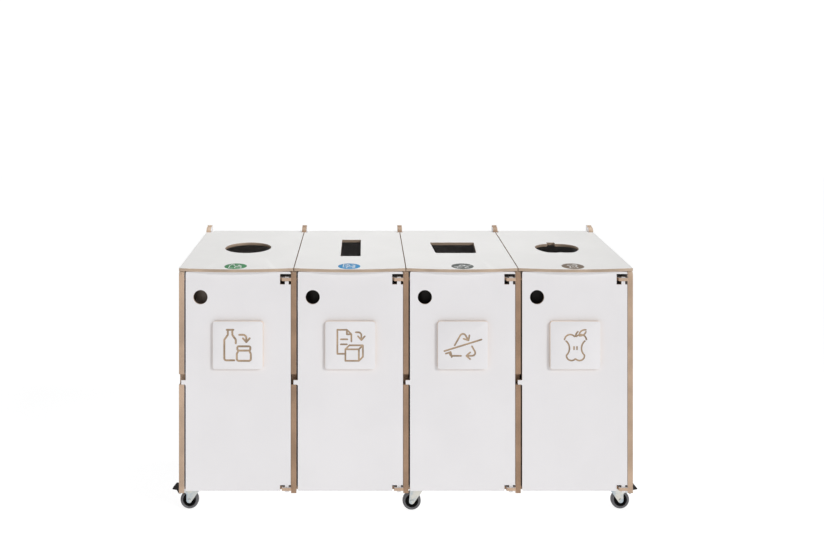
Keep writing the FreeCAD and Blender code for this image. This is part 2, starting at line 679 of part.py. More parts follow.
def make_fork(spot):
    """A fork folded from one sheet, cut from a block by the space between its legs."""
    name = "fork_" + spot
    braked = CASTERS[spot][3]
    body = sheet_body(name, "XZ_Plane", leg_outline(braked), FORK_WIDTH, "Symmetric")
    under_top = "dims.fork_top - dims.leg_ply"
    wheel_room = block(name + "_wheel_room", ("-dims.swivel_disc", "-dims.leg_inner", "0"),
                       ("dims.swivel_disc + dims.arm_reach", "2 * dims.leg_inner", under_top))
    pedal_room = block(name + "_pedal_room", ("dims.swivel_disc", "-dims.leg_inner", "0"),
                       ("dims.arm_reach", "2 * dims.leg_inner", "dims.fork_top"))
    legs = without(name + "_legs", body, joined(name + "_inside", [wheel_room, pedal_room]))
    disc = rod(name + "_disc", (0, 0, under_top), Z, "2 * dims.swivel_disc", "dims.leg_ply")
    bore = rod(name + "_bore", (0, 0, "0"), Z, "dims.swivel_pin + dims.axle_play", "2 * dims.fork_top")
    pressed = without(name + "_pressed", joined(name + "_sheet", [legs, disc]), bore)
    bolt = joined(name + "_axle_bolt", [
        cross_rod(name + "_axle", AXLE, "dims.axle", PIN_PROUD),
        rod(name + "_bolt_near", (AXLE[0], "-%s / 2 - dims.axle_head_ply" % FORK_WIDTH, AXLE[1]), Y,
            "dims.axle_head", "dims.axle_head_ply"),
        rod(name + "_bolt_far", (AXLE[0], "%s / 2" % FORK_WIDTH, AXLE[1]), Y,
            "dims.axle_head", "dims.axle_head_ply")])
    pins = [bolt]
    if braked:
        pins.append(cross_rod(name + "_pivot", PEDAL_PIVOT, "dims.pedal_pin", PIN_PROUD))
    drilled = without(name + "_drilled", pressed, grouped(name + "_pins", pins))
    fork = keep(name, grouped(name, [drilled] + pins))
    stand(fork, spot)


def make_wheel(spot):
    axle_half = "(dims.axle + dims.axle_play) / 2"
    hub_half, web_half = "dims.hub_width / 2", "dims.hub_web / 2"
    rim_half = "(dims.tyre_width / 2 - dims.rim_step)"
    boss, well = "dims.hub_boss", "dims.tyre_inner - dims.hub_rim"
    hub = turned_body("hub_" + spot, [
        (axle_half, "-" + hub_half), (boss, "-" + hub_half), (boss, "-" + web_half),
        (well, "-" + web_half), (well, "-" + rim_half), ("dims.tyre_inner", "-" + rim_half),
        ("dims.tyre_inner", rim_half), (well, rim_half), (well, web_half), (boss, web_half),
        (boss, hub_half), (axle_half, hub_half)])
    edge, crown = "dims.tyre_width / 2", "(dims.tyre_width / 2 - dims.tread_round)"
    wall_low, wall_high = "dims.wheel_radius - 9", "dims.wheel_radius - 6"
    tyre = turned_body("tyre_" + spot, [
        ("dims.tyre_inner", "-" + rim_half), (wall_low, "-" + edge),
        (wall_high, "-" + edge, "dims.tread_round", 1), ("dims.wheel_radius", "-" + crown),
        ("dims.wheel_radius", crown, "dims.tread_round", 1), (wall_high, edge),
        (wall_low, edge), ("dims.tyre_inner", rim_half)])
    x, depth, turn, braked = CASTERS[spot]
    trail = "%s %s dims.trail" % (x, "-" if turn else "+")
    for label, body in (("hub_" + spot, hub), ("tyre_" + spot, tyre)):
        bind(body, at=(trail, behind(depth), "dims.wheel_radius"))
        keep(label, body)


def make_pedal(spot):
    """Brake pedal: a chunky moulded lever over the back of the tyre."""
    name = "brake_pedal_" + spot
    reach, height = "dims.pedal_pivot_reach", "dims.pedal_pivot_height"
    corners = [
        (reach + " - 6", height + " - 3", "6.7", 1), (reach + " + 6", height + " - 6"),
        (reach + " + 14", "68.5"), (reach + " + 24", "63"), (reach + " + 30", "65"),
        (reach + " + 38", "78.5"), (reach + " + 55", "81.5"), (reach + " + 56", "84"),
        (reach + " + 44", "99", "6", 1), (reach + " + 39", "100.5"), (reach + " + 28", "100"),
        (reach + " + 6", height + " + 6", "9", 1)]
    body = sheet_body(name, "XZ_Plane", corners, "dims.pedal_width", "Symmetric",
                      circles=[(reach, height, "dims.pedal_pin + dims.axle_play")])
    stand(body, spot)
    keep(name, body)


# ---- assembly ----

dowels = make_dowels()
lid_pins = make_lid_pins()
drills = grouped("screw_drills", make_screws())
for number in UPRIGHTS:
    make_upright(number, dowels[number] + lid_pins[number])
for number in BAYS:
    name, body = make_bottom_panel(number)
    beside = grouped(name + "_bores", dowels[number][0:2] + dowels[number + 1][0:2] + [drills])
    keep(name, without(name, body, beside))
    name, body = make_bag_frame(number)
    beside = grouped(name + "_bores", dowels[number][2:4] + dowels[number + 1][2:4])
    keep(name, without(name, body, beside))
    name, body = make_back_panel(number)
    beside = grouped(name + "_bores", dowels[number][4:6] + dowels[number + 1][4:6])
    keep(name, without(name, body, beside))
    make_door(number)
    make_sign_plate(number)
    make_lid(number)
    make_bin(number)
keep("panel_dowels", grouped("panel_dowels", sum(dowels.values(), [])))
keep("lid_pins", grouped("lid_pins", sum(lid_pins.values(), [])))
make_pads(drills)
make_mounts(drills)
for spot, (x, depth, turn, braked) in CASTERS.items():
    make_fork(spot)
    make_wheel(spot)
    if braked:
        make_pedal(spot)

doc.recompute()
for thing in doc.Objects:
    if "Invalid" in thing.State or "Error" in thing.State:
        raise SystemExit("%s failed: %s" % (thing.Name, thing.State))
for label, thing in parts.items():
    if thing.Shape.isNull() or not thing.Shape.isValid():
        raise SystemExit(label + " has no valid shape")

os.makedirs("parts", exist_ok=True)
for label, thing in parts.items():
    thing.Shape.exportStep("parts/%s.step" % label)
print(len(parts), "sub-parts written")
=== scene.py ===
import math

import bmesh
import bpy
from mathutils import Matrix, Vector


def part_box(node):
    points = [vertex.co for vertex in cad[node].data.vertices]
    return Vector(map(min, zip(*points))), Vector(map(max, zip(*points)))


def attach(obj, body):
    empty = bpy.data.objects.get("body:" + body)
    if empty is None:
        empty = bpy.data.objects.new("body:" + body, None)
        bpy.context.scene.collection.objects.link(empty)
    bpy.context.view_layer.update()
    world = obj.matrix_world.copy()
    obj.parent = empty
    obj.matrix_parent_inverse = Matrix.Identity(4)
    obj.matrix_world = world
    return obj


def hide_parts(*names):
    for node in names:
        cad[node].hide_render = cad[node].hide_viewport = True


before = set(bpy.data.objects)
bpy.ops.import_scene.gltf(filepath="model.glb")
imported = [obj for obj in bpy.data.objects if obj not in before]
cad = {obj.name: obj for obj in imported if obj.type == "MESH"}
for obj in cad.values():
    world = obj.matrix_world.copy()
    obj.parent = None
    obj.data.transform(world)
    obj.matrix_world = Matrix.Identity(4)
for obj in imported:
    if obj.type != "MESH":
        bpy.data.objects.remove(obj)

# The looks of a four-bay recycling station of laminated birch plywood on six casters.
# Lengths are in metres; MM turns millimetres into metres.
MM = 0.001
BAYS = (1, 2, 3, 4)
X, Y, Z = Vector((1, 0, 0)), Vector((0, 1, 0)), Vector((0, 0, 1))

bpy.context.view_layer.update()              # the CAD nodes' box, before anything is added

# ---- places read from the frame ----

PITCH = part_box("door_2")[0].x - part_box("door_1")[0].x
UPRIGHT_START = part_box("upright_1")[0].x
SIDE_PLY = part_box("upright_1")[1].x - UPRIGHT_START
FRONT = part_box("door_1")[0].y
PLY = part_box("door_1")[1].y - FRONT      # every board but the uprights is this thick
SHELF_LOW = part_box("bottom_panel_1")[0].z
HINGE_LOW, HINGE_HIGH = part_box("lid_pins")
HINGE = (HINGE_LOW + HINGE_HIGH) / 2
LID_SLOPE = math.radians(7)        # the lids fall towards the front
LID_UP = Vector((0, -math.sin(LID_SLOPE), math.cos(LID_SLOPE)))
LID_FORWARD = Vector((0, -math.cos(LID_SLOPE), -math.sin(LID_SLOPE)))


# ---- materials ----

NOISE_RANGE = (0.3, 0.7)


class Nodes:
    """A procedural material in object space, with short ways to add and link its nodes."""

    def __init__(self, name, **shader_values):
        self.material = bpy.data.materials.new(name)
        self.material.use_nodes = True
        self.tree = self.material.node_tree
        self.shader = self.tree.nodes["Principled BSDF"]
        coordinates = self.tree.nodes.new("ShaderNodeTexCoord")
        self.place = coordinates.outputs["Object"]
        self.normal = coordinates.outputs["Normal"]
        for label, value in shader_values.items():
            self.feed(self.shader.inputs[label.replace("_", " ")], value)

    def feed(self, socket, value):
        if isinstance(value, bpy.types.NodeSocket):
            self.tree.links.new(value, socket)
        else:
            socket.default_value = value

    def put(self, kind, values, **settings):
        """Add a node; values go to its inputs by name or number."""
        node = self.tree.nodes.new(kind)
        for name, value in settings.items():
            setattr(node, name, value)
        for key, value in values.items():
            self.feed(node.inputs[key], value)
        return node

    def calc(self, operation, *values):
        return self.put("ShaderNodeMath", dict(enumerate(values)), operation=operation).outputs[0]

    def along(self, vector, direction):
        values = {0: vector, 1: tuple(direction)}
        return self.put("ShaderNodeVectorMath", values, operation="DOT_PRODUCT").outputs["Value"]

    def ramp(self, value, low, high, to_low=0.0, to_high=1.0):
        """Move value smoothly from to_low to to_high as it goes from low to high."""
        values = {"Value": value, "From Min": low, "From Max": high, "To Min": to_low, "To Max": to_high}
        return self.put("ShaderNodeMapRange", values, interpolation_type="SMOOTHSTEP").outputs["Result"]

    def spread(self, noise, low, high):
        """Move smoothly from low to high over the range where most of a noise lies."""
        return self.ramp(noise, *NOISE_RANGE, low, high)

    def noise(self, scale, detail=2.0, stretch=(1, 1, 1)):
        """Noise of about scale features a metre, finer along the directions with a larger stretch."""
        where = self.put("ShaderNodeMapping", {"Vector": self.place, "Scale": stretch}).outputs[0]
        values = {"Vector": where, "Scale": scale, "Detail": detail}
        return self.put("ShaderNodeTexNoise", values).outputs["Fac"]

    def mix(self, factor, first, second):
        """Mix two colours. The node repeats its sockets' names; these numbers are the colour ones."""
        node = self.put("ShaderNodeMix", {0: factor, 6: first, 7: second}, data_type="RGBA")
        return node.outputs[2]

    def scaled(self, colour, factor):
        values = {0: colour, "Scale": factor}
        return self.put("ShaderNodeVectorMath", values, operation="SCALE").outputs["Vector"]

    def bump(self, height, distance):
        values = {"Height": height, "Distance": distance}
        self.feed(self.shader.inputs["Normal"], self.put("ShaderNodeBump", values).outputs[0])


def rgb(red, green, blue):
    return (red, green, blue, 1.0)


LAMINATE = rgb(0.805, 0.787, 0.797)
LID_LAMINATE = rgb(0.80, 0.79, 0.775)
LONG_GRAIN = (rgb(0.38, 0.215, 0.125), rgb(0.62, 0.40, 0.25))
END_GRAIN = (rgb(0.24, 0.13, 0.075), rgb(0.44, 0.26, 0.15))
GLUE_LINE = rgb(0.17, 0.10, 0.06)
# the pale birch that bare edges are mixed towards; the extra where they face up is painted top light
PALE_BIRCH_AND_TOP_LIGHT = rgb(0.66, 0.52, 0.40)
CUT_BIRCH = (rgb(0.36, 0.25, 0.165), rgb(0.56, 0.42, 0.29))
BEECH_GRAIN = (rgb(0.45, 0.28, 0.17), rgb(0.66, 0.46, 0.30))
BEECH_FLECK = rgb(0.22, 0.11, 0.06)
PASSIVATED = (rgb(0.44, 0.52, 0.58), rgb(0.72, 0.70, 0.64))
TWO_VENEERS = 2.8 * MM             # about what two layers of the plywood measure


def board(name, across, start, thickness, every=None, tone=1.0, pale=0.25, face=LAMINATE):
    """Birch plywood with white laminate on both faces.

    across is the board's thickness direction and start the place of one face along it. Boards that
    stand at a regular distance from each other share a material through every. tone brightens the
    bare edges, and pale makes them paler, more where they look up: a painted top light."""
    nodes = Nodes(name, Specular_IOR_Level=0.4)
    depth = nodes.calc("SUBTRACT", nodes.along(nodes.place, across), start)
    if every:
        depth = nodes.calc("FLOORED_MODULO", depth, every)
    facing = nodes.calc("ABSOLUTE", nodes.along(nodes.normal, across))
    is_face = nodes.ramp(facing, 0.88, 0.96)

    plies = 2 * round(thickness / TWO_VENEERS) + 1
    veneer = nodes.calc("MULTIPLY", depth, plies / thickness)
    cross_ply = nodes.ramp(nodes.calc("PINGPONG", veneer, 1.0), 0.42, 0.58)
    glue = nodes.ramp(nodes.calc("PINGPONG", nodes.calc("ADD", veneer, 0.5), 0.5), 0.42, 0.5)
    layered = [1.0 + 11.0 * abs(value) for value in across]
    streaks = nodes.noise(110, 5.0, layered)
    pores = nodes.noise(900, 2.0)
    blotches = nodes.noise(9, 2.0)
    long_grain = nodes.mix(streaks, *LONG_GRAIN)
    end_grain = nodes.mix(nodes.spread(pores, 0.0, 1.0), *END_GRAIN)
    wood = nodes.mix(cross_ply, long_grain, end_grain)
    wood = nodes.mix(nodes.calc("MULTIPLY", glue, 0.55), wood, GLUE_LINE)
    # bare edges mix towards pale birch by pale, and more where they face up: painted top light
    pale_and_top_light = nodes.ramp(nodes.along(nodes.normal, Z), 0.1, 0.8, pale, min(1.0, pale + 0.35))
    wood = nodes.mix(pale_and_top_light, wood, PALE_BIRCH_AND_TOP_LIGHT)
    wood = nodes.scaled(wood, nodes.spread(blotches, 0.86 * tone, 1.12 * tone))

    haze = nodes.noise(5, 3.0)
    white = nodes.scaled(face[:3], nodes.spread(haze, 0.975, 1.0))
    nodes.feed(nodes.shader.inputs["Base Color"], nodes.mix(is_face, wood, white))
    smears = nodes.noise(14, 4.0)
    gloss = nodes.spread(smears, 0.36, 0.46)
    nodes.feed(nodes.shader.inputs["Roughness"], nodes.ramp(is_face, 0, 1, 0.66, gloss))

    pebbles = nodes.calc("MULTIPLY", nodes.noise(1600, 1.0), 0.10)
    ridges = nodes.calc("ADD", nodes.calc("MULTIPLY", streaks, 0.8), nodes.calc("MULTIPLY", glue, -0.5))
    nodes.bump(nodes.ramp(is_face, 0, 1, ridges, pebbles), 0.25 * MM)
    return nodes.material


def engraved_wood():
    """The birch core that the sign plates' grooves lay bare, a little scorched by the cutter."""
    nodes = Nodes("engraved_birch", Specular_IOR_Level=0.3)
    grain = nodes.noise(70, 5.0, (1, 3, 9))
    scorch = nodes.noise(35, 2.0)
    colour = nodes.mix(grain, *CUT_BIRCH)
    colour = nodes.scaled(colour, nodes.spread(scorch, 0.72, 1.08))
    nodes.feed(nodes.shader.inputs["Base Color"], colour)
    nodes.feed(nodes.shader.inputs["Roughness"], nodes.ramp(grain, 0.2, 0.8, 0.8, 0.62))
    nodes.bump(grain, 0.2 * MM)
    return nodes.material


def beech():
    """Round dowels, with fine dark flecks."""
    nodes = Nodes("beech", Specular_IOR_Level=0.35)
    grain = nodes.noise(240, 4.0, (0.15, 1, 1))
    flecks = nodes.ramp(nodes.noise(1400, 1.0, (0.3, 1, 1)), 0.62, 0.72)
    colour = nodes.mix(grain, *BEECH_GRAIN)
    colour = nodes.mix(nodes.calc("MULTIPLY", flecks, 0.5), colour, BEECH_FLECK)
    nodes.feed(nodes.shader.inputs["Base Color"], colour)
    nodes.feed(nodes.shader.inputs["Roughness"], nodes.ramp(grain, 0.2, 0.8, 0.7, 0.5))
    nodes.bump(grain, 0.15 * MM)
    return nodes.material


def zinc(name, dark=1.0, rough=0.34):
    """Zinc-plated pressed steel: a faint blue and straw passivation with small spangles."""
    nodes = Nodes(name, Metallic=1.0)
    cloud = nodes.noise(28, 3.0)
    spangle = nodes.noise(420, 2.0)
    colour = nodes.mix(nodes.ramp(cloud, 0.35, 0.65), *PASSIVATED)
    colour = nodes.scaled(colour, nodes.spread(spangle, 0.86 * dark, 1.06 * dark))
    nodes.feed(nodes.shader.inputs["Base Color"], colour)
    nodes.feed(nodes.shader.inputs["Roughness"], nodes.spread(spangle, rough, rough + 0.16))
    nodes.bump(spangle, 0.08 * MM)
    return nodes.material


def moulded(name, colour, rough, grain_scale, grain_depth, sheen=0.5, wear=0.02):
    """Moulded plastic or rubber with a fine mould texture and slightly worn, paler patches.

    sheen is the gloss's strength, and wear how much paler the worn patches are."""
    nodes = Nodes(name, Specular_IOR_Level=sheen)
    grain = nodes.noise(grain_scale, 2.0)
    patches = nodes.noise(30, 4.0)
    worn = rgb(*[part * 1.3 + wear for part in colour[:3]])
    nodes.feed(nodes.shader.inputs["Base Color"], nodes.mix(nodes.ramp(patches, 0.45, 0.75), colour, worn))
    nodes.feed(nodes.shader.inputs["Roughness"], nodes.ramp(patches, 0.3, 0.75, rough, rough + 0.12))
    nodes.bump(grain, grain_depth)
    return nodes.material


def printed(name, colour):
    """Satin printed film."""
    nodes = Nodes(name, Specular_IOR_Level=0.45)
    mottle = nodes.noise(160, 3.0)
    speckle = nodes.noise(700, 1.0)
    nodes.feed(nodes.shader.inputs["Base Color"], nodes.scaled(colour[:3], nodes.spread(mottle, 0.93, 1.05)))
    nodes.feed(nodes.shader.inputs["Roughness"], nodes.spread(speckle, 0.34, 0.44))
    nodes.bump(speckle, 0.02 * MM)
    return nodes.material


UPRIGHT_BOARD = board("upright_board", X, UPRIGHT_START, SIDE_PLY, every=PITCH, tone=0.77, pale=0.12)
# the end uprights' bare edges are made lighter and paler than the middle ones'
END_UPRIGHT_BOARD = board("end_upright_board", X, UPRIGHT_START, SIDE_PLY, every=PITCH, tone=0.95, pale=0.5)
DOOR_BOARD = board("door_board", Y, FRONT - PLY, PLY, every=PLY, pale=0.5)
# the sign plates' bare edges are painted paler and brighter than the doors', a painted highlight on their
# rims
SIGN_BOARD = board("sign_board", Y, FRONT - PLY, PLY, every=PLY, tone=1.3, pale=0.8)
BACK_BOARD = board("back_board", Y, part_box("back_panel_1")[0].y, PLY)
SHELF_BOARD = board("shelf_board", Z, SHELF_LOW - PLY, PLY, every=PLY, pale=0.45)
# the lid edges are painted pale, which lifts the shaded rims of the openings: painted light
LID_BOARD = board("lid_board", LID_UP, HINGE.dot(LID_UP) - PLY / 2, PLY, tone=0.79, pale=0.75,
                  face=LID_LAMINATE)
ENGRAVING = engraved_wood()
BEECH = beech()
ZINC = zinc("zinc_plate")
SCREW_STEEL = zinc("screw_steel", dark=0.7, rough=0.28)
TYRE = moulded("tyre_rubber", rgb(0.10, 0.098, 0.104), 0.55, 2200, 0.10 * MM)
HUB = moulded("hub_plastic", rgb(0.003, 0.003, 0.003), 0.5, 1800, 0.04 * MM, sheen=0.08, wear=0.004)
PEDAL = moulded("pedal_plastic", rgb(0.012, 0.010, 0.009), 0.5, 1500, 0.08 * MM, sheen=0.25, wear=0.008)
BLACK_BIN = moulded("black_bin_plastic", rgb(0.020, 0.018, 0.017), 0.45, 900, 0.10 * MM, sheen=0.22,
                    wear=0.003)
BROWN_BIN = moulded("brown_bin_plastic", rgb(0.20, 0.16, 0.13), 0.42, 900, 0.10 * MM, wear=0.003)
WHITE_PRINT = printed("white_print", rgb(0.80, 0.80, 0.79))


# ---- the CAD pieces: material, and edges eased by a fine bevel ----

WELD = 0.01 * MM                   # joins the corners that a CAD mesh repeats on each face
SHARP = math.radians(35)           # edges that turn more than this are eased
BOARD_EASE = 0.5 * MM
BIN_EASE = 0.6 * MM
STEEL_EASE = 0.4 * MM
PEDAL_EASE = 0.8 * MM


def finish_cad(names, material, ease=0.0):
    """Give CAD nodes their material. ease rounds their sharp edges by that much."""
    for name in names:
        piece = cad[name]
        piece.data.materials.clear()
        piece.data.materials.append(material)
        if not ease:
            continue
        weld = piece.modifiers.new("weld", "WELD")
        weld.merge_threshold = WELD
        bevel = piece.modifiers.new("eased_edges", "BEVEL")
        bevel.width = ease
        bevel.segments = 2
        bevel.limit_method = "ANGLE"
        bevel.angle_limit = SHARP
        bevel.harden_normals = True
        bevel.use_clamp_overlap = True


def numbered(stem, numbers=BAYS):
    return ["%s_%d" % (stem, number) for number in numbers]


def at_spots(stem):
    return [name for name in sorted(cad) if name.startswith(stem + "_")]


finish_cad(numbered("upright", (2, 3, 4)), UPRIGHT_BOARD, BOARD_EASE)
finish_cad(numbered("upright", (1, 5)), END_UPRIGHT_BOARD, BOARD_EASE)
finish_cad(numbered("door"), DOOR_BOARD, BOARD_EASE)
finish_cad(numbered("back_panel"), BACK_BOARD, BOARD_EASE)
finish_cad(numbered("bottom_panel") + numbered("bag_frame"), SHELF_BOARD, BOARD_EASE)
finish_cad(["caster_pads"], SHELF_BOARD)
finish_cad(numbered("lid"), LID_BOARD, BOARD_EASE)
finish_cad(["waste_bin_1"], BROWN_BIN, BIN_EASE)
finish_cad(numbered("waste_bin", (2, 3, 4)), BLACK_BIN, BIN_EASE)
finish_cad(at_spots("fork") + ["caster_mounts"], ZINC, STEEL_EASE)
finish_cad(["caster_screws", "lid_pins"], SCREW_STEEL)
finish_cad(["panel_dowels"], BEECH)
finish_cad(at_spots("hub"), HUB)
finish_cad(at_spots("tyre"), TYRE)
finish_cad(at_spots("brake_pedal"), PEDAL, PEDAL_EASE)


# ---- strokes: the drawings on the sign plates and stickers, in millimetres from their middle ----

ARC_STEP = 260                     # degrees times millimetres of radius in one step
TURN_STEPS = 5                     # in the rounded turn of a stroke
BARB_TURN = 138                    # degrees between an arrow's heading and its barbs
BARB = 20                          # the barbs' length


def arc(centre, radius, start, end, squash=1.0):
    """Points along an arc between two angles, in degrees counter-clockwise from the right.

    squash scales its height."""
    steps = max(4, int(abs(end - start) * radius / ARC_STEP))
    points = []
    for step in range(steps + 1):
        angle = math.radians(start + (end - start) * step / steps)
        points.append((centre[0] + radius * math.cos(angle),
                       centre[1] + radius * math.sin(angle) * squash))
    return points


def rounded(corners, radius, closed=False):
    """The corners joined by straight lines, with each turn rounded."""
    count = len(corners)
    points = []
    for index, corner in enumerate(corners):
        here = Vector(corner)
        if not closed and index in (0, count - 1):
            points.append(tuple(here))
            continue
        before = (Vector(corners[index - 1]) - here).normalized()
        after = (Vector(corners[(index + 1) % count]) - here).normalized()
        half = before.angle(after) / 2
        setback = radius / math.tan(half)
        middle = here + (before + after).normalized() * (radius / math.sin(half))
        first = here + before * setback - middle
        turn = first.angle_signed(here + after * setback - middle)
        for step in range(TURN_STEPS + 1):
            points.append(tuple(middle + Matrix.Rotation(-turn * step / TURN_STEPS, 2) @ first))
    if closed:
        points.append(points[0])
    return points


def arrow_head(tip, heading):
    """Two barbs that meet at the tip; heading is where the arrow points, in degrees."""
    barbs = []
    for turn in (BARB_TURN, -BARB_TURN):
        angle = math.radians(heading + turn)
        barbs.append([tip, (tip[0] + BARB * math.cos(angle), tip[1] + BARB * math.sin(angle))])
    return barbs


def legs(*corners):
    """Separate straight strokes from corner to corner, so that each corner stays crisp."""
    return [list(pair) for pair in zip(corners, corners[1:])]


def bottle_and_jar():
    bottle = rounded([(-40, 62), (-40, 42), (-54, 22), (-54, -60), (-14, -60)], 8)
    shoulder = rounded([(-22, 62), (-22, 42), (-8, 22), (-8, 8)], 8)
    jar = rounded([(2, -22), (-4, -34), (-4, -62), (52, -62), (52, -34), (46, -22)], 8)
    lid = rounded([(-2, -4), (-2, -21), (50, -21), (50, -4)], 6, closed=True)
    drop = rounded([(6, 42), (34, 42), (34, 16)], 13)
    return [[(-44, 62), (-18, 62)], bottle, shoulder, jar, lid, drop] + arrow_head((34, 13), -90)


def sheet_and_box():
    sheet = legs((-24, -34), (-52, -34), (-52, 62), (-14, 62), (4, 44), (4, 16))
    fold = legs((-14, 58), (-14, 44), (0, 44))
    front = legs((-20, -16), (-20, -62), (34, -62), (34, -16), (-20, -16))
    top = legs((-20, -16), (-4, 0), (50, 0), (34, -16))
    side = legs((50, 0), (50, -46), (34, -62))
    lines = [[(-38, 24), (-12, 24)], [(-38, 4), (-14, 4)]]
    drop = rounded([(22, 52), (44, 52), (44, 24)], 12)
    return sheet + fold + front + top + side + lines + [drop] + arrow_head((44, 21), -90)


def struck_triangle():
    """Three arrows that chase each other round a triangle, struck through by a bar."""
    over_top = rounded([(-33, 0), (0, 58), (22, 20)], 12)
    over_right = rounded([(36, -4), (58, -42), (14, -42)], 12)
    over_left = rounded([(-8, -42), (-58, -42), (-50, -28)], 8)
    bar = [(-74, -23), (74, 23)]
    return ([over_top, over_right, over_left, bar] + arrow_head((22, 20), -60)
            + arrow_head((14, -42), 180) + arrow_head((-49, -27), 60))


def apple_core():
    lobes = [arc((-21, 20), 23, 172, 42), arc((21, 20), 23, 138, 8)]
    bites = [arc((-62, -12), 38, 50, -46), arc((62, -12), 38, 130, 226)]
    feet = [arc((-16, -42), 20, 172, 318, 0.95), arc((16, -42), 20, 222, 368, 0.95)]
    stalk = arc((26, 34), 26, 176, 128)
    leaf = [arc((38, 38), 24, 160, 82), arc((19, 62), 24, -20, -98)]
    seeds = [[(-6, -6), (-6, -16)], [(6, -6), (6, -16)]]
    return lobes + bites + feet + [stalk] + leaf + seeds


DRAWINGS = {1: bottle_and_jar, 2: sheet_and_box, 3: struck_triangle, 4: apple_core}

TUBE_SIDES = 12
SHARPEST_MITRE = 0.5               # the cosine below which a tube's corner isn't widened further
CAP_ANGLES = (0.5, 0.95, 1.35)     # where the rings of a round end lie, in radians
SMOOTH_BELOW = math.radians(32)


def sweep(mesh, points, radius, place, across, flatness=1.0, material=0):
    """Add a tube along the points: round-ended, or endless where the last point is the first again.

    place turns a point into its spot on the board, across is the board's own outward direction, and
    flatness thins the tube along it."""
    endless = points[0] == points[-1]
    path = [place(u, v) for u, v in (points[:-1] if endless else points)]
    count = len(path)
    ahead = [(path[(index + 1) % count] - spot).normalized() for index, spot in enumerate(path)]
    if not endless:
        ahead[-1] = ahead[-2]
    rings = []
    for index, spot in enumerate(path):
        before = ahead[index - 1] if index or endless else ahead[0]
        way = (before + ahead[index]).normalized()
        side = way.cross(across).normalized() / max(SHARPEST_MITRE, way.dot(ahead[index]))
        rings.append((spot, side, 1.0))
    if not endless:
        for at_start, way in ((True, -ahead[0]), (False, ahead[-1])):
            spot, side, _ = rings[0 if at_start else -1]
            for angle in CAP_ANGLES:
                cap = (spot + way * radius * math.sin(angle), side * math.cos(angle), math.cos(angle))
                rings.insert(0 if at_start else len(rings), cap)
    loops = []
    for spot, side, share in rings:
        loop = []
        for step in range(TUBE_SIDES):
            turn = 2 * math.pi * step / TUBE_SIDES
            out = side * math.cos(turn) + across * (share * flatness * math.sin(turn))
            loop.append(mesh.verts.new(spot + out * radius))
        loops.append(loop)
    for first, second in zip(loops, loops[1:] + loops[:1] if endless else loops[1:]):
        for step in range(TUBE_SIDES):
            following = (step + 1) % TUBE_SIDES
            face = mesh.faces.new((first[step], first[following], second[following], second[step]))
            face.material_index = material
    if not endless:
        for cap in (loops[0][::-1], loops[-1]):
            mesh.faces.new(cap).material_index = material


def smooth(data):
    data.polygons.foreach_set("use_smooth", [True] * len(data.polygons))
    data.set_sharp_from_angle(angle=SMOOTH_BELOW)


def make_object(name, mesh, materials):
    """Turn a bmesh into an object with smooth faces and sharp corners."""
    bmesh.ops.recalc_face_normals(mesh, faces=mesh.faces)
    data = bpy.data.meshes.new(name)
    mesh.to_mesh(data)
    mesh.free()
    for material in materials:
        data.materials.append(material)
    thing = bpy.data.objects.new(name, data)
    bpy.context.scene.collection.objects.link(thing)
    smooth(data)
    return thing


# ---- sign plates: the drawings are cut into the laminate down to the birch ----

SIGN_CORNER = 11 * MM
CORNER_STEPS = 8
LEVEL = 1e-7                       # two depths closer than this are the same
STROKE = {1: 8.0 * MM, 2: 7.0 * MM, 3: 7.0 * MM, 4: 6.5 * MM}      # how wide the grooves are
GROOVE = 1.9 * MM                  # and how deep


def plate_blank(low, high):
    """A board with round corners and an eased rim."""
    mesh = bmesh.new()
    corners = [(high.x, high.z, 0), (low.x, high.z, 90), (low.x, low.z, 180), (high.x, low.z, 270)]
    outline = []
    for x, z, start in corners:
        middle_x = x - math.copysign(SIGN_CORNER, x - (low.x + high.x) / 2)
        middle_z = z - math.copysign(SIGN_CORNER, z - (low.z + high.z) / 2)
        for step in range(CORNER_STEPS + 1):
            angle = math.radians(start + 90 * step / CORNER_STEPS)
            outline.append(Vector((middle_x + SIGN_CORNER * math.cos(angle), high.y,
                                   middle_z + SIGN_CORNER * math.sin(angle))))
    back = mesh.faces.new([mesh.verts.new(point) for point in outline])
    front = bmesh.ops.extrude_face_region(mesh, geom=[back])["geom"]
    front_verts = [item for item in front if isinstance(item, bmesh.types.BMVert)]
    bmesh.ops.translate(mesh, verts=front_verts, vec=(0, low.y - high.y, 0))
    rims = [edge for edge in mesh.edges if abs(edge.verts[0].co.y - edge.verts[1].co.y) < LEVEL]
    bmesh.ops.bevel(mesh, geom=rims, offset=BOARD_EASE, segments=2, profile=0.5, affect="EDGES")
    return mesh


def carve(piece, cutter):
    """Take the cutter away from the piece; the new faces keep the cutter's material."""
    cut = piece.modifiers.new("groove", "BOOLEAN")
    cut.operation = "DIFFERENCE"
    cut.solver = "EXACT"
    cut.material_mode = "TRANSFER"
    cut.object = cutter
    bpy.context.view_layer.update()
    evaluated = piece.evaluated_get(bpy.context.evaluated_depsgraph_get())
    carved = bpy.data.meshes.new_from_object(evaluated)
    piece.modifiers.remove(cut)
    piece.data = carved
    bpy.data.objects.remove(cutter)


def make_sign(number):
    low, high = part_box("sign_plate_%d" % number)
    middle = (low + high) / 2
    plate = make_object("engraved_sign_%d" % number, plate_blank(low, high), [SIGN_BOARD])
    radius = STROKE[number] / 2
    for stroke in DRAWINGS[number]():
        mesh = bmesh.new()
        sweep(mesh, stroke, radius, lambda u, v: Vector((middle.x + u * MM, low.y, middle.z + v * MM)),
              -Y, flatness=GROOVE / radius)
        carve(plate, make_object("cutter", mesh, [ENGRAVING]))
    smooth(plate.data)
    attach(plate, "door_body_%d" % number)
    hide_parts("sign_plate_%d" % number)


# ---- stickers on the lids: coloured discs with the same drawings in white ----

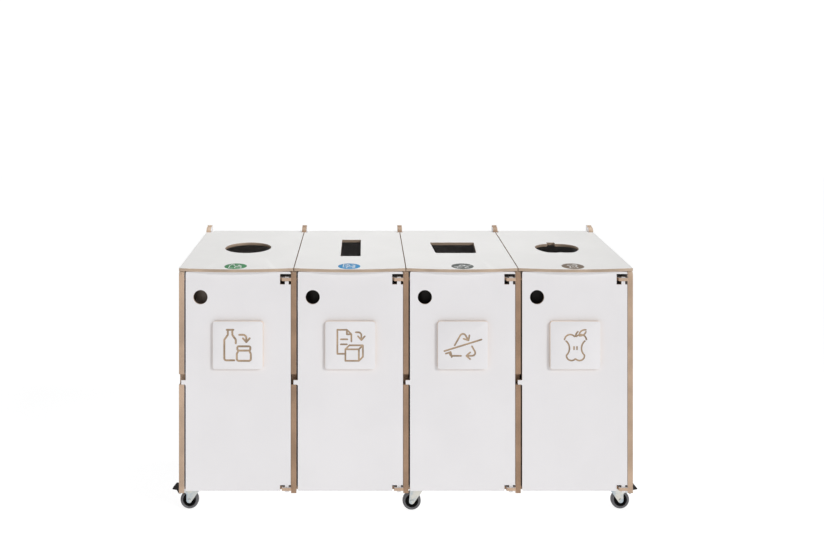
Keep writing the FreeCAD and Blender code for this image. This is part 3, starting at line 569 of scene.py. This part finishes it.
STICKER_RADIUS = 45 * MM
STICKER_BEHIND_FRONT = 31 * MM
STICKER_FILM = 0.3 * MM
STICKER_SHOULDER = 0.6             # how far up the film its rim starts to slope in
STICKER_STEPS = 96
STICKER_SCALE = 0.46
INK_RADIUS = 1.6 * MM
INK_FLATNESS = 0.06
STICKER_COLOURS = {1: rgb(0.035, 0.22, 0.075), 2: rgb(0.018, 0.24, 0.50), 3: rgb(0.11, 0.12, 0.112),
                   4: rgb(0.18, 0.13, 0.09)}
HAND_SET = {1: -12 * MM, 2: -3 * MM, 3: 5 * MM, 4: 1 * MM}      # stuck on by hand, off the middle


def make_sticker(number):
    middle_x = PITCH * (number - (len(BAYS) + 1) / 2) + HAND_SET[number]
    reach = (HINGE.y - FRONT - STICKER_BEHIND_FRONT) / math.cos(LID_SLOPE)
    centre = Vector((middle_x, HINGE.y, HINGE.z)) + LID_FORWARD * reach + LID_UP * (PLY / 2)

    def place(u, v, rise=STICKER_FILM):
        return centre + X * u - LID_FORWARD * v + LID_UP * rise

    mesh = bmesh.new()
    rims = []
    for radius, rise in ((STICKER_RADIUS, 0.0), (STICKER_RADIUS, STICKER_FILM * STICKER_SHOULDER),
                         (STICKER_RADIUS - STICKER_FILM, STICKER_FILM)):
        rims.append([mesh.verts.new(place(radius * math.cos(2 * math.pi * step / STICKER_STEPS),
                                          radius * math.sin(2 * math.pi * step / STICKER_STEPS), rise))
                     for step in range(STICKER_STEPS)])
    for first, second in zip(rims, rims[1:]):
        for step in range(STICKER_STEPS):
            following = (step + 1) % STICKER_STEPS
            mesh.faces.new((first[step], first[following], second[following], second[step]))
    mesh.faces.new(rims[0][::-1])
    mesh.faces.new(rims[-1])
    for stroke in DRAWINGS[number]():
        shrunk = [(u * MM * STICKER_SCALE, v * MM * STICKER_SCALE) for u, v in stroke]
        sweep(mesh, shrunk, INK_RADIUS, place, LID_UP, flatness=INK_FLATNESS, material=1)
    film = printed("film_%d" % number, STICKER_COLOURS[number])
    sticker = make_object("sticker_%d" % number, mesh, [film, WHITE_PRINT])
    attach(sticker, "lid_body_%d" % number)


for bay in BAYS:
    make_sign(bay)
    make_sticker(bay)


# ---- floor, light and camera ----

FLOOR_REACH = 40
FLOOR_DROP = 0.2 * MM              # keeps the floor clear of the tyres
FLOOR_GLOW = 0.83                  # lifts the floor to plain white
KEY_AT, KEY_AIM = (3.6, -3.6, 2.9), (0, 0, 0.5)
KEY_POWER = 1.35
KEY_ANGLE = math.radians(12)       # how wide the key looks from the station, which softens its shadows
PANEL_AT, PANEL_AIM = (0, 0.1, 3.4), (0, 0, 1)
PANEL_POWER = 40
PANEL_SIZE = (2.6, 1.4)
ROOM_SEEN = 1.1                    # the room's brightness as the camera sees it
ROOM_LIGHT = 0.36                  # and as a light


def make_floor():
    mesh = bmesh.new()
    bmesh.ops.create_grid(mesh, x_segments=1, y_segments=1, size=FLOOR_REACH)
    bmesh.ops.translate(mesh, verts=mesh.verts, vec=(0, 0, -FLOOR_DROP))
    nodes = Nodes("pale_floor", Roughness=0.9, Base_Color=rgb(0.3, 0.3, 0.3),
                  Emission_Strength=FLOOR_GLOW, Emission_Color=rgb(1, 1, 1))
    make_object("floor", mesh, [nodes.material])


def make_lamp(name, kind, at, aim, power):
    data = bpy.data.lights.new(name, kind)
    data.energy = power
    lamp = bpy.data.objects.new(name, data)
    bpy.context.scene.collection.objects.link(lamp)
    lamp.location = at
    lamp.rotation_euler = (Vector(aim) - Vector(at)).to_track_quat("-Z", "Y").to_euler()
    return data


def make_lamps():
    """A soft far light from the front right and a wide panel over the lids."""
    key = make_lamp("key", "SUN", KEY_AT, KEY_AIM, KEY_POWER)
    key.angle = KEY_ANGLE
    panel = make_lamp("overhead", "AREA", PANEL_AT, PANEL_AIM, PANEL_POWER)
    panel.shape = "RECTANGLE"
    panel.size, panel.size_y = PANEL_SIZE


def make_world():
    """A white room: bright to look at, dimmer as a light, so that the lamps can shape the boards."""
    world = bpy.data.worlds.new("white_room")
    bpy.context.scene.world = world
    world.use_nodes = True
    tree = world.node_tree
    tree.nodes.clear()
    seen = tree.nodes.new("ShaderNodeBackground")
    seen.inputs["Strength"].default_value = ROOM_SEEN
    seen.inputs["Color"].default_value = rgb(1, 1, 1)
    lighting = tree.nodes.new("ShaderNodeBackground")
    lighting.inputs["Strength"].default_value = ROOM_LIGHT
    lighting.inputs["Color"].default_value = rgb(0.98, 0.99, 1.0)
    rays = tree.nodes.new("ShaderNodeLightPath")
    choice = tree.nodes.new("ShaderNodeMixShader")
    out = tree.nodes.new("ShaderNodeOutputWorld")
    tree.links.new(rays.outputs["Is Camera Ray"], choice.inputs[0])
    tree.links.new(lighting.outputs[0], choice.inputs[1])
    tree.links.new(seen.outputs[0], choice.inputs[2])
    tree.links.new(choice.outputs[0], out.inputs["Surface"])


CAMERA_HEIGHT = 1505.5 * MM
CAMERA_DISTANCE = 3850 * MM        # in front of the doors
CAMERA_LEFT = 166 * MM             # left of the station's middle
SENSOR, LENS = 36, 41.94           # in millimetres
SHIFT = (0.0576, -0.166)           # the camera is level, and its frame is shifted down to the station
LEVEL_GAZE = (math.radians(90), 0, 0)


def make_camera():
    data = bpy.data.cameras.new("camera")
    data.sensor_width = SENSOR
    data.lens = LENS
    data.shift_x, data.shift_y = SHIFT
    camera = bpy.data.objects.new("camera", data)
    bpy.context.scene.collection.objects.link(camera)
    camera.location = (-CAMERA_LEFT, FRONT - CAMERA_DISTANCE, CAMERA_HEIGHT)
    camera.rotation_euler = LEVEL_GAZE
    bpy.context.scene.camera = camera


make_camera()
make_floor()
make_world()
make_lamps()
bpy.context.scene.view_settings.view_transform = "Standard"     # plain whites stay white
